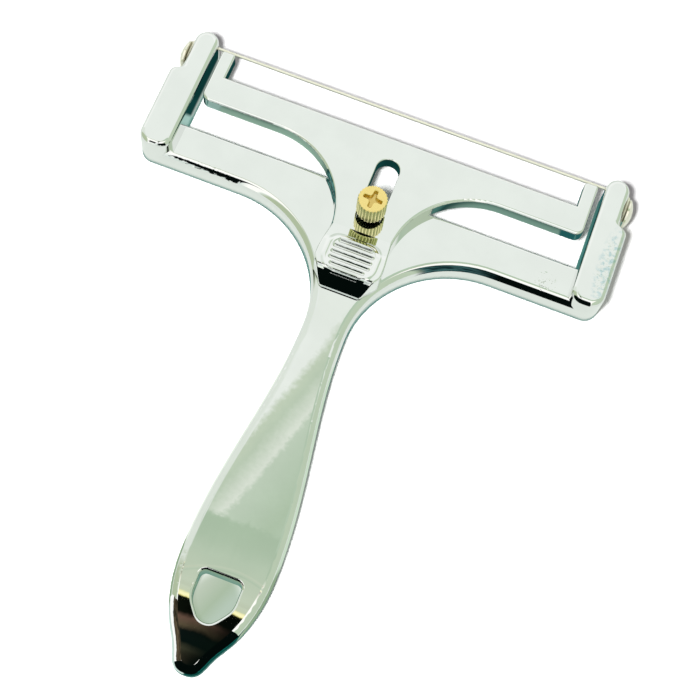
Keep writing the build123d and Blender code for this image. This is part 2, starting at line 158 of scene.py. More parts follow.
class Graph:
    """A shader's node tree, filled by expressions."""

    def __init__(self, tree: bpy.types.NodeTree) -> None:
        """Empty the node tree of a material, a lamp or a world, and keep it."""
        self.tree = tree
        tree.nodes.clear()

    def node(
        self,
        kind: str,
        settings: Mapping[str, Any] | None = None,
        values: Mapping[int | str, Any] | None = None,
        output: int | str = 0,
    ) -> Expression:
        """Add one node.

        Args:
            kind: The node's type.
            settings: What is set on the node first.
            values: Numbers, colours or expressions for its inputs.
            output: Which output to return.

        Returns:
            That output.
        """
        node = self.tree.nodes.new(kind)
        for name, value in (settings or {}).items():
            setattr(node, name, value)
        for key, value in (values or {}).items():
            target = node.inputs[key]
            if isinstance(value, Expression):
                self.tree.links.new(value.socket, target)
            elif isinstance(value, tuple) and len(value) == 3 and target.type == "RGBA":
                target.default_value = (*value, 1.0)
            else:
                target.default_value = value
        return Expression(self, node.outputs[output])

    def ramp(
        self, value: Expression, low: float, high: float, rows: Rows, gain: float = 1.0
    ) -> Expression:
        """Look a value up in a colour ramp.

        Args:
            value: The value.
            low: The value at the ramp's start.
            high: The value at the ramp's end.
            rows: A value, red, green, blue and any further factor on the light, by rising value.
            gain: Factor on the light of all rows.

        Returns:
            The colour.
        """
        span = high - low
        colour = self.node("ShaderNodeValToRGB", {}, {0: (value - low) / span})
        stops = colour.socket.node.color_ramp.elements
        stops.remove(stops[1])
        for index, (place, red, green, blue, *more) in enumerate(rows):
            share = (place - low) / span
            stop = stops.new(share) if index else stops[0]
            stop.position = share
            stop.color = (*tone(red, green, blue, gain * math.prod(more)), 1.0)
        return colour

    def mix(self, factor: Number, first: Any, second: Any) -> Expression:
        """Blend two colours, where the factor is the share of the second."""
        settings = {"data_type": "RGBA"}
        return self.node("ShaderNodeMix", settings, {0: factor, 6: first, 7: second}, output=2)

    def vector(
        self, operation: str, values: Mapping[int | str, Any], output: int | str = 0
    ) -> Expression:
        """Apply a Vector Math node."""
        return self.node("ShaderNodeVectorMath", {"operation": operation}, values, output)

    def shade(self, colour: Any, factor: Number) -> Expression:
        """Scale a colour or a vector by a factor."""
        return self.vector("SCALE", {0: colour, "Scale": factor})

    def noise(
        self, place: Expression, scale: float, detail: float = 2.0, distortion: float = 0.0
    ) -> Expression:
        """Read a noise texture, from 0 to 1, with as many features in a unit of place as the scale."""
        values = {"Vector": place, "Scale": scale, "Detail": detail, "Distortion": distortion}
        return self.node("ShaderNodeTexNoise", {}, values)

    def stretch(self, place: Expression, factors: Place) -> Expression:
        """Scale a place along each axis by its own factor."""
        return self.vector("MULTIPLY", {0: place, 1: factors})

    def millimetres(self) -> Expression:
        """Read the place on the object, in millimetres."""
        return self.shade(self.node("ShaderNodeTexCoord", output="Object"), 1.0 / MILLIMETRE)

    def blob(self, place: Expression, centre: Place, reach: Place) -> Expression:
        """Fade from 1 in the middle of an ellipsoid to 0 on its surface.

        Args:
            place: The place on the object.
            centre: Middle of the ellipsoid.
            reach: Half its size along each axis.

        Returns:
            The mask.
        """
        away = self.vector("SUBTRACT", {0: place, 1: centre})
        scaled = self.vector("DIVIDE", {0: away, 1: reach})
        return self.vector("LENGTH", {0: scaled}, "Value").smooth(1.0, 0.45)

    def ray(self, fact: str) -> Expression:
        """Read a fact about the ray that meets the surface."""
        return self.node("ShaderNodeLightPath", output=fact)

    def axes(self, place: Expression) -> tuple[Expression, Expression, Expression]:
        """Split a place into its three coordinates."""
        split = self.node("ShaderNodeSeparateXYZ", {}, {0: place}).socket.node
        return tuple(Expression(self, socket) for socket in split.outputs)

    def finish(self, kind: str, shader: Expression) -> None:
        """Add an output node of a kind, and link the shader to its surface."""
        target = self.tree.nodes.new(kind)
        self.tree.links.new(shader.socket, target.inputs["Surface"])


def new_material(name: str) -> tuple[bpy.types.Material, Graph]:
    """Make a material with an empty graph."""
    material = bpy.data.materials.new(name)
    material.use_nodes = True
    return material, Graph(material.node_tree)


def add(name: str, data: bpy.types.ID) -> bpy.types.Object:
    """Add an object of that data to the scene."""
    thing = bpy.data.objects.new(name, data)
    bpy.context.scene.collection.objects.link(thing)
    return thing


def quad(name: str, corners: Sequence[Any], material: bpy.types.Material) -> bpy.types.Object:
    """Add a rectangle to the scene.

    Args:
        name: Its name.
        corners: Its four corners, in metres.
        material: Its material.

    Returns:
        The object.
    """
    mesh = bpy.data.meshes.new(name)
    mesh.from_pydata(corners, [], [(0, 1, 2, 3)])
    mesh.materials.append(material)
    return add(name, mesh)


class Wear(Enum):
    """What time and handling left on a plated surface."""

    PITS = "small pits in the casting"
    SCUFF = "plating rubbed dull"
    RIPPLE = "uneven casting under the plating"


@dataclass(frozen=True)
class Mark:
    """One worn place.

    Attributes:
        wear: What is worn.
        centre: Its middle, in millimetres.
        reach: Half its size along each axis, in millimetres.
        depth: Height of its relief, in millimetres.
    """

    wear: Wear
    centre: Place
    reach: Place
    depth: float

    def mask(self, graph: Graph, place: Expression) -> Expression:
        """Fade from 1 in the middle of the mark to 0 outside."""
        return graph.blob(place, self.centre, self.reach)


@dataclass(frozen=True)
class Metal:
    """A bare or plated metal.

    Attributes:
        name: Name of the material.
        colour: Its reflectance.
        roughness: Roughness where it is clean.
        smudge: Roughness that handling adds.
        grain: Height of its fine relief, in millimetres.
        blotch_share: Share of the light that its duller blotches throw back.
    """

    name: str
    colour: Colour
    roughness: float
    smudge: float
    grain: float = 0.006
    blotch_share: float = 0.97

    def relief(self, graph: Graph, place: Expression) -> Expression:
        """Height of the surface's fine relief, in millimetres."""
        return graph.noise(place, 1.2, detail=3.0) * self.grain

    def tint(self, graph: Graph, place: Expression) -> Any:
        """Colour of the metal over its surface."""
        blotch = graph.noise(place, 0.12, detail=3.0).smooth(0.3, 0.7)
        duller = tuple(self.blotch_share * channel for channel in self.colour)
        return graph.mix(blotch, self.colour, duller)

    def dullness(self, graph: Graph, place: Expression) -> Expression:
        """Roughness over the surface."""
        haze = graph.noise(place, 0.2, detail=4.0).smooth(0.45, 0.8)
        return haze * self.smudge + self.roughness

    def material(self) -> bpy.types.Material:
        """Build the material.

        Returns:
            The material.
        """
        material, graph = new_material(self.name)
        place = graph.millimetres()
        relief = {"Strength": 1.0, "Distance": MILLIMETRE, "Height": self.relief(graph, place)}
        surface = {
            "Base Color": self.tint(graph, place),
            "Metallic": 1.0,
            "Roughness": self.dullness(graph, place),
            "Normal": graph.node("ShaderNodeBump", {}, relief),
        }
        graph.finish("ShaderNodeOutputMaterial", graph.node("ShaderNodeBsdfPrincipled", {}, surface))
        return material


@dataclass(frozen=True)
class Chrome(Metal):
    """Mirror plating over a die-casting.

    Attributes:
        waviness: Height of the slow waves in the casting, in millimetres.
        peel_share: Height of the orange peel as a share of the waves.
        marks: Worn places.
        scuff_colour: Reflectance where the plating is rubbed.
        scuff_roughness: Roughness that rubbing adds.
    """

    waviness: float = 0.004
    peel_share: float = 0.03
    marks: tuple[Mark, ...] = ()
    scuff_colour: Colour = (0.55, 0.68, 0.72)
    scuff_roughness: float = 0.16

    def relief(self, graph: Graph, place: Expression) -> Expression:
        """Slow waves, orange peel and the relief of each mark."""
        height = graph.noise(place, 0.07, detail=1.0) * self.waviness
        height = height + graph.noise(place, 1.1, detail=2.0) * (self.waviness * self.peel_share)
        for mark in self.marks:
            height = height - mark.mask(graph, place) * self._pattern(graph, place, mark)
        return height

    @staticmethod
    def _pattern(graph: Graph, place: Expression, mark: Mark) -> Expression:
        """Relief inside a mark.

        Args:
            graph: The graph to add to.
            place: The place on the slicer, in millimetres.
            mark: The mark.

        Returns:
            The relief, in millimetres.
        """
        if mark.wear is Wear.PITS:
            return graph.noise(place, 1.6, detail=1.0).smooth(0.58, 0.7) * mark.depth
        if mark.wear is Wear.SCUFF:
            return graph.noise(place, 1.3, detail=4.0, distortion=0.6) * mark.depth
        return graph.noise(place, 0.8, detail=3.0) * mark.depth

    def dullness(self, graph: Graph, place: Expression) -> Expression:
        """Haze everywhere, and dull plating in the scuffs."""
        rough = super().dullness(graph, place)
        for mark in self.marks:
            if mark.wear is Wear.SCUFF:
                patch = graph.noise(place, 0.9, detail=4.0).smooth(0.4, 0.6)
                rough = rough + mark.mask(graph, place) * patch * self.scuff_roughness
        return rough

    def tint(self, graph: Graph, place: Expression) -> Any:
        """Even plating, with a bluish cast in the scuffs."""
        colour = super().tint(graph, place)
        for mark in self.marks:
            if mark.wear is Wear.SCUFF:
                patch = graph.noise(place, 0.7, detail=4.0).smooth(0.45, 0.65)
                colour = graph.mix(mark.mask(graph, place) * patch, colour, self.scuff_colour)
        return colour


@dataclass(frozen=True)
class Casting(Chrome):
    """Plating on the frame, with a faint seam round the hanging hole.

    Attributes:
        seam_place: Highest point of the seam, in millimetres.
        seam_bend: How fast it falls off to both sides, per millimetre.
        seam_depth: Its depth, in millimetres.
        seam_half_width: Half the width of its bottom.
        seam_edge: Width of each of its flanks.
    """

    seam_place: Pair = (3.0, -55.6)
    seam_bend: float = 0.022
    seam_depth: float = 0.004
    seam_half_width: float = 0.1
    seam_edge: float = 0.6

    def relief(self, graph: Graph, place: Expression) -> Expression:
        """Relief of the plating, less the seam."""
        x, y, _ = graph.axes(place)
        along = x - self.seam_place[0]
        off = y + along * along * self.seam_bend
        seam = off.band(self.seam_place[1], self.seam_half_width, self.seam_edge)
        return super().relief(graph, place) - seam * self.seam_depth


@dataclass(frozen=True)
class Slide(Chrome):
    """Plating on the gauge plate, with a rounded border round the thumb pocket.

    Attributes:
        pocket_centre_y: Middle of the pocket, in millimetres.
        pocket_half: Half its width and length.
        pocket_corner: Radius of its corners.
        border_width: Half the width of the border.
        border_height: How high the border stands.
        pad_heights: Heights between which the border comes in, above the plate's flat top.
    """

    pocket_centre_y: float = 31.8
    pocket_half: Pair = (6.1, 4.7)
    pocket_corner: float = 3.2
    border_width: float = 0.95
    border_height: float = 0.20
    pad_heights: Pair = (12.0, 12.6)

    def relief(self, graph: Graph, place: Expression) -> Expression:
        """Relief of the plating and the border."""
        x, y, z = graph.axes(place)
        over_x = x.math("ABSOLUTE") - (self.pocket_half[0] - self.pocket_corner)
        over_y = (y - self.pocket_centre_y).math("ABSOLUTE") - (self.pocket_half[1] - self.pocket_corner)
        outer_x = over_x.math("MAXIMUM", 0.0)
        outer_y = over_y.math("MAXIMUM", 0.0)
        outside = (outer_x * outer_x + outer_y * outer_y).math("SQRT")
        inside = over_x.math("MAXIMUM", over_y).math("MINIMUM", 0.0)
        distance = outside + inside - self.pocket_corner
        border = distance.band(self.border_width, 0.0, self.border_width)
        border = border * z.smooth(*self.pad_heights)
        return super().relief(graph, place) + border * self.border_height


@dataclass(frozen=True)
class Brass(Metal):
    """Turned brass, with rings on its face and a darkened recess.

    Attributes:
        axis_y: Where the turning axis stands, in millimetres.
        face_z: Height of the face.
        head_z: Height of the head's underside.
        recess_radius: Reach of the recess in the face.
        knurl_painted_tint: Reflectance of the knurled side, greener and darker than the face with painted
            shade and green reflection.
        recess_colour: Reflectance deep in the recess.
        groove_painted_shade: Painted shade between the knurls, dark olive.
        under_head_painted_shade: Painted shade under the head, nearly black.
        spot_colour: Reflectance of the tarnished spots.
    """

    axis_y: float = 46.9
    face_z: float = 19.1
    head_z: float = 12.6
    recess_radius: float = 3.2
    knurl_painted_tint: Colour = (0.80, 0.74, 0.36)
    recess_colour: Colour = (0.74, 0.52, 0.17)
    groove_painted_shade: Colour = (0.30, 0.31, 0.10)
    under_head_painted_shade: Colour = (0.03, 0.04, 0.02)
    spot_colour: Colour = (0.62, 0.44, 0.15)

    def _radius(self, graph: Graph, place: Expression) -> Expression:
        """Distance from the turning axis, in millimetres."""
        x, y, _ = graph.axes(place)
        across = y - self.axis_y
        return (x * x + across * across).math("SQRT")

    def relief(self, graph: Graph, place: Expression) -> Expression:
        """Turning rings and fine dents."""
        rings = (self._radius(graph, place) * 34.0).math("SINE") * 0.0006
        return rings + graph.noise(place, 2.5, detail=3.0) * 0.003

    def tint(self, graph: Graph, place: Expression) -> Any:
        """Bright face, a knurl painted greener with shade and reflection, a brown recess, and painted
        shade in the grooves and under the head.
        """
        _, _, z = graph.axes(place)
        radius = self._radius(graph, place)
        # Painted shade and green reflection on the knurled side of the head.
        side = z.smooth(self.face_z - 0.12, self.face_z - 0.4)
        colour = graph.mix(side, self.colour, self.knurl_painted_tint)
        deep = z.smooth(self.face_z - 0.15, self.face_z - 1.4)
        inside = radius.smooth(self.recess_radius, self.recess_radius - 0.3)
        colour = graph.mix(deep * inside, colour, self.recess_colour)
        middle, half = (self.face_z + self.head_z) / 2, (self.face_z - self.head_z) / 2
        # Painted shade between the knurls.
        groove = radius.smooth(4.0, 3.80) * radius.smooth(3.3, 3.5)
        colour = graph.mix(groove * z.band(middle + 0.05, half - 0.55, 0.3), colour, self.groove_painted_shade)
        # Painted shade under the head, nearly black.
        under = z.smooth(self.head_z + 0.16, self.head_z + 0.04)
        colour = graph.mix(under, colour, self.under_head_painted_shade)
        spots = graph.noise(place, 1.4, detail=4.0).smooth(0.62, 0.75)
        return graph.mix(spots * 0.4, colour, self.spot_colour)


@dataclass(frozen=True)
class DrawnWire(Metal):
    """Drawn wire, with fine lines along it."""

    def relief(self, graph: Graph, place: Expression) -> Expression:
        """Lines along the wire."""
        drawn = graph.stretch(place, (0.05, 6.0, 6.0))
        return graph.noise(drawn, 1.0, detail=2.0) * 0.004


@dataclass(frozen=True)
class KnurledScrew:
    """The thumbscrew with rounded knurls, a dished cross recess and its thread.

    Attributes:
        axis_y: Where its axis stands, in millimetres.
        tip_z: Lower end of the shank.
        head_z: Underside of the head.
        face_z: Face of the head.
        head_radius: Radius over the knurls.
        edge: Width of the rounded edge of the face.
        knurl_count: Number of knurls.
        knurl_depth: Depth of the grooves between them.
        shank_radius: Radius over the thread.
        root_radius: Radius at the thread's roots.
        pitch: Pitch of the thread.
        recess_reach: Half the length of the recess.
        recess_width: Half the width of an arm of the recess at its top.
        recess_depth: Depth of the recess.
        recess_throat: How much wider an arm is where it meets the next one.
        recess_slope: Length of the slope at each side of an arm.
        recess_ramp: Length of the slope at the end of an arm.
        recess_turn: Turn of the recess, in radians.
        run_out: Length of the plain neck under the head.
        columns: Mesh columns round the axis.
    """

    axis_y: float = 46.9
    tip_z: float = 1.8
    head_z: float = 12.6
    face_z: float = 19.1
    head_radius: float = 4.05
    edge: float = 0.3
    knurl_count: int = 26
    knurl_depth: float = 0.34
    shank_radius: float = 1.95
    root_radius: float = 1.6
    pitch: float = 0.7
    recess_reach: float = 2.75
    recess_width: float = 0.62
    recess_depth: float = 1.25
    recess_throat: float = 0.22
    recess_slope: float = 0.30
    recess_ramp: float = 0.9
    recess_turn: float = -4.0 * DEGREE
    run_out: float = 0.6
    columns: int = 240

    def build(self) -> bpy.types.Object:
        """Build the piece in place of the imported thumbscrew.

        Returns:
            The object.
        """
        rows = self._shank() + self._head()
        points = [Vector((0.0, self.axis_y, self.tip_z))]
        for radius, height, knurl, face in rows:
            for column in range(self.columns):
                turn = 2 * math.pi * column / self.columns
                groove = (0.5 - 0.5 * math.cos(self.knurl_count * turn)) ** 0.8
                reach = radius - knurl * self.knurl_depth * groove
                x, y = reach * math.cos(turn), reach * math.sin(turn)
                sunk = self._recess(x, y) if face else 0.0
                points.append(Vector((x, self.axis_y + y, height - sunk)))
        points.append(Vector((0.0, self.axis_y, self.face_z - self.recess_depth)))
        mesh = bpy.data.meshes.new("turned_thumbscrew")
        mesh.from_pydata([point * MILLIMETRE for point in points], [], self._faces(len(rows)))
        mesh.shade_smooth()
        return add("turned_thumbscrew", mesh)

    def _faces(self, row_count: int) -> list[tuple[int, ...]]:
        """Connect the rows.

        Args:
            row_count: Number of rows of points.

        Returns:
            The faces.
        """
        last = 1 + row_count * self.columns
        faces: list[tuple[int, ...]] = []
        for column in range(self.columns):
            following = (column + 1) % self.columns
            faces.append((0, 1 + following, 1 + column))
            top = 1 + (row_count - 1) * self.columns
            faces.append((last, top + column, top + following))
            for row in range(row_count - 1):
                low = 1 + row * self.columns
                high = low + self.columns
                faces.append((low + column, low + following, high + following, high + column))
        return faces

    def _shank(self) -> list[tuple[float, float, float, bool]]:
        """Rows of the shank: radius, height, share of the knurl, and whether it is the face."""
        rows = [(self.root_radius, self.tip_z, 0.0, False)]
        top = self.head_z - self.run_out
        steps = 4
        count = int((top - self.tip_z - self.pitch) / self.pitch)
        start = top - count * self.pitch
        for step in range(count * steps + 1):
            wave = 0.5 + 0.5 * math.cos(2 * math.pi * step / steps)
            radius = self.root_radius + (self.shank_radius - self.root_radius) * wave
            rows.append((radius, start + step * self.pitch / steps, 0.0, False))
        rows.append((self.root_radius, top + self.run_out / 2, 0.0, False))
        rows.append((self.root_radius, self.head_z, 0.0, False))
        return rows

    def _head(self) -> list[tuple[float, float, float, bool]]:
        """Rows of the head, from the shank over the knurls to the middle of the face."""
        rim = self.head_radius - self.edge
        rows = [(self.root_radius + 0.1, self.head_z, 0.0, False), (rim, self.head_z, 0.0, False)]
        steps = 5
        for step in range(1, steps + 1):
            turn = math.pi / 2 * step / steps
            share = math.sin(turn)
            height = self.head_z + self.edge * (1 - math.cos(turn))
            rows.append((rim + self.edge * share, height, share, False))
        for step in range(steps + 1):
            turn = math.pi / 2 * step / steps
            share = math.cos(turn)
            height = self.face_z - self.edge * (1 - math.sin(turn))
            rows.append((rim + self.edge * share, height, share, False))
        rings = 44
        for step in range(1, rings):
            rows.append((rim * (1 - step / rings), self.face_z, 0.0, True))
        return rows

    def _recess(self, x: float, y: float) -> float:
        """Depth of the cross recess below the face.

        Args:
            x: Place from the axis along X.
            y: Place from the axis along Y.

        Returns:
            The depth, in millimetres.
        """
        cosine, sine = math.cos(self.recess_turn), math.sin(self.recess_turn)
        along, over = abs(x * cosine + y * sine), abs(y * cosine - x * sine)
        long, short = max(along, over), min(along, over)
        flare = math.exp(-((long - self.recess_width) / 0.5) ** 2)
        half = self.recess_width + self.recess_throat * flare
        side = (half - short) / self.recess_slope
        end = (self.recess_reach - long) / self.recess_ramp
        wall = max(0.0, min(1.0, side)) * max(0.0, min(1.0, end)) ** 0.7
        return self.recess_depth * wall * wall * (3 - 2 * wall)


class SlicerFinish:
    """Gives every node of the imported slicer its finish."""

    frame_marks = (
        Mark(Wear.PITS, (50.5, 47.5, 7.0), (3.4, 3.2, 1.5), 0.09),
        Mark(Wear.SCUFF, (64.4, 56.0, 11.2), (3.6, 14.5, 2.5), 0.05),
        Mark(Wear.RIPPLE, (-46.0, 44.2, 6.0), (9.5, 2.5, 2.5), 0.05),
    )

    def __init__(self, nodes: Mapping[str, bpy.types.Object]) -> None:
        """Keep the nodes.

        Args:
            nodes: Objects by node name.
        """
        self.nodes = nodes
        plating = (0.845, 0.85, 0.845)
        nickel = (0.86, 0.82, 0.70)
        steel = (0.99, 0.95, 0.84)
        self.finishes: dict[str, Metal] = {
            "frame": Casting("plated_casting", plating, 0.008, 0.010, marks=self.frame_marks),
            "gauge_plate": Slide("plated_slide", plating, 0.010, 0.02, waviness=0.003),
            "thumbscrew": Brass("turned_brass", (0.95, 0.74, 0.29), 0.17, 0.10),
            "cutting_wire": DrawnWire("drawn_steel", steel, 0.48, 0.06),
            "left_wire_screw": Metal("nickel_left", nickel, 0.10, 0.10),
            "right_wire_screw": Metal("nickel_right", nickel, 0.10, 0.10),
        }

    def apply(self) -> None:
        """Assign each node's material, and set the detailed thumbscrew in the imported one's place."""
        for name, finish in self.finishes.items():
            node = self.nodes[name]
            material = finish.material()
            for slot in node.material_slots:
                slot.material = material
            LOG.info("%s is finished as %s", name, material.name)
            if name == "thumbscrew":
                piece = KnurledScrew().build()
                piece.data.materials.append(material)
                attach(piece, "clamp_screw")
                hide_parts(name)
                LOG.info("%s stands for %s", piece.name, name)


class CardFace(Enum):
    """What a card's painted reflection looks like."""

    PLAIN = "black"
    FADED = "teal at its start, then black"
    RAGGED = "black and torn, thin at its start"
    LIT_FOOT = "smoky brown with a white lower part"
    TEAL_FOOT = "black with a teal lower part"
    TEAL = "teal all over"


@dataclass(frozen=True)
class Card:
    """An upright sheet near the slicer, seen only in the plating, which paints a dark reflection into the
    plating before it.

    Attributes:
        name: Its name.
        face: What its painted reflection looks like. Seen from its start, the face is on the left.
        start: Where it starts along X and Y, in millimetres.
        end: Where it ends.
        height: Its lower and upper edge.
        reach: How far off it fades out in the plating.
        foot: Height below which a foot of another colour starts.
    """

    name: str
    face: CardFace
    start: Pair
    end: Pair
    height: Pair
    reach: float
    foot: float = 0.0

    def build(self) -> None:
        """Add the card. Only its face is dark, and only mirrored rays meet it."""
        low, high = self.height
        outline = ((self.start, low), (self.start, high), (self.end, high), (self.end, low))
        corners = [Vector((*place, z)) * MILLIMETRE for place, z in outline]
        card = quad(self.name, corners, self._material())
        for ray in ("camera", "diffuse", "shadow", "transmission"):
            setattr(card, f"visible_{ray}", False)

    def _run(self, x: Expression, y: Expression) -> Expression:
        """Share of the way along the card, from 0 at its start to 1 at its end."""
        way = (self.end[0] - self.start[0], self.end[1] - self.start[1])
        square = way[0] ** 2 + way[1] ** 2
        return (x - self.start[0]) * (way[0] / square) + (y - self.start[1]) * (way[1] / square)

    def _material(self) -> bpy.types.Material:
        """Build the painted reflection: dark emission that is clear from behind and from afar.

        Returns:
            The material.
        """
        material, graph = new_material(self.name)
        place = graph.millimetres()
        x, y, z = graph.axes(place)
        run = self._run(x, y)
        low, high = self.height
        colour: Any = tone(4, 12, 10)
        cover: Number = 1.0
        if self.face is CardFace.FADED:
            smoke = graph.noise(place, 0.3, detail=2.0).smooth(0.40, 0.60)
            teal = graph.mix(smoke, tone(16, 44, 46), tone(70, 112, 112))
            colour = graph.mix(run.smooth(0.40, 0.22), colour, teal)
            cover = z.smooth(high, high - 2.0) * run.smooth(0.0, 0.10)
        if self.face is CardFace.RAGGED:
            torn = graph.noise(graph.stretch(place, (0.8, 1.0, 0.22)), 1.0, detail=3.0) - 0.5
            away = (z - (low + high) / 2).math("ABSOLUTE") / ((high - low) / 2)
            cover = (run * 0.6 + 0.38 + torn * 1.8 - away).smooth(-0.05, 0.05) * run.smooth(1.0, 0.98)
        if self.face is CardFace.LIT_FOOT:
            brown = graph.noise(place, 0.25, detail=3.0).smooth(0.35, 0.65)
            colour = graph.mix(brown, tone(40, 38, 28), tone(104, 92, 72))
            # Painted highlight: a white foot that glows brighter than white, with a pale teal band at the
            # floor.
            colour = graph.mix(z.smooth(self.foot, self.foot - 0.6), colour, tone(252, 253, 250, 1.2))
            colour = graph.mix(z.smooth(2.4, 1.6), colour, tone(170, 196, 186, 1.2))
        if self.face is CardFace.TEAL_FOOT:
            colour = graph.mix(z.smooth(self.foot, 0.4), colour, tone(20, 116, 106, 1.2))
        if self.face is CardFace.TEAL:
            smoke = graph.noise(place, 0.5, detail=2.0).smooth(0.35, 0.65)
            colour = graph.mix(smoke, tone(18, 66, 64), tone(92, 144, 136))
        length = graph.ray("Ray Length") / MILLIMETRE
        cover = length.smooth(self.reach * 1.08, self.reach * 0.9) * cover
        front = 1.0 - graph.node("ShaderNodeNewGeometry", output="Backfacing")
        dark = graph.node("ShaderNodeEmission", {}, {"Color": colour, "Strength": 1.0})
        clear = graph.node("ShaderNodeBsdfTransparent")
        shader = graph.node("ShaderNodeMixShader", {}, {0: front * cover, 1: clear, 2: dark})
        graph.finish("ShaderNodeOutputMaterial", shader)
        return material


def stem_cards(count: int = 4) -> tuple[Card, ...]:
    """Make the teal cards along the left arc of the gauge plate's stem, which paint teal reflections into
    its plating.

    Args:
        count: Number of cards.

    Returns:
        The cards, from the wing to the pad.
    """
    centre = (-32.5, 38.45)
    radius = 23.75
    first, last = 44.0 * DEGREE, -2.0 * DEGREE
    turns = [first + (last - first) * step / count for step in range(count + 1)]
    ends = [(centre[0] + radius * math.cos(turn), centre[1] + radius * math.sin(turn)) for turn in turns]
    return tuple(
        Card(f"stem_card_{step + 1}", CardFace.TEAL, ends[step], ends[step + 1], (7.05, 10.9), 4.0)
        for step in range(count)
    )


@dataclass(frozen=True)
class PaintedPatch:
    """A patch of painted light and shade on the floor, which only the plating near it shows.

    Attributes:
        colour: Its colour.
        span_x: Its ends along X, in millimetres.
        span_y: Its ends along Y.
        edge: Width of its soft edge.
    """

    colour: Colour
    span_x: Pair
    span_y: Pair
    edge: float

    def over(self, graph: Graph, below: Any, x: Expression, y: Expression) -> Expression:
        """Lay the patch over the colour below it."""
        cover = self._span(x, self.span_x) * self._span(y, self.span_y)
        return graph.mix(cover, below, self.colour)

    def _span(self, place: Expression, ends: Pair) -> Expression:
        """Be 1 between the two ends along an axis."""
        return place.band((ends[0] + ends[1]) / 2, (ends[1] - ends[0]) / 2, self.edge)


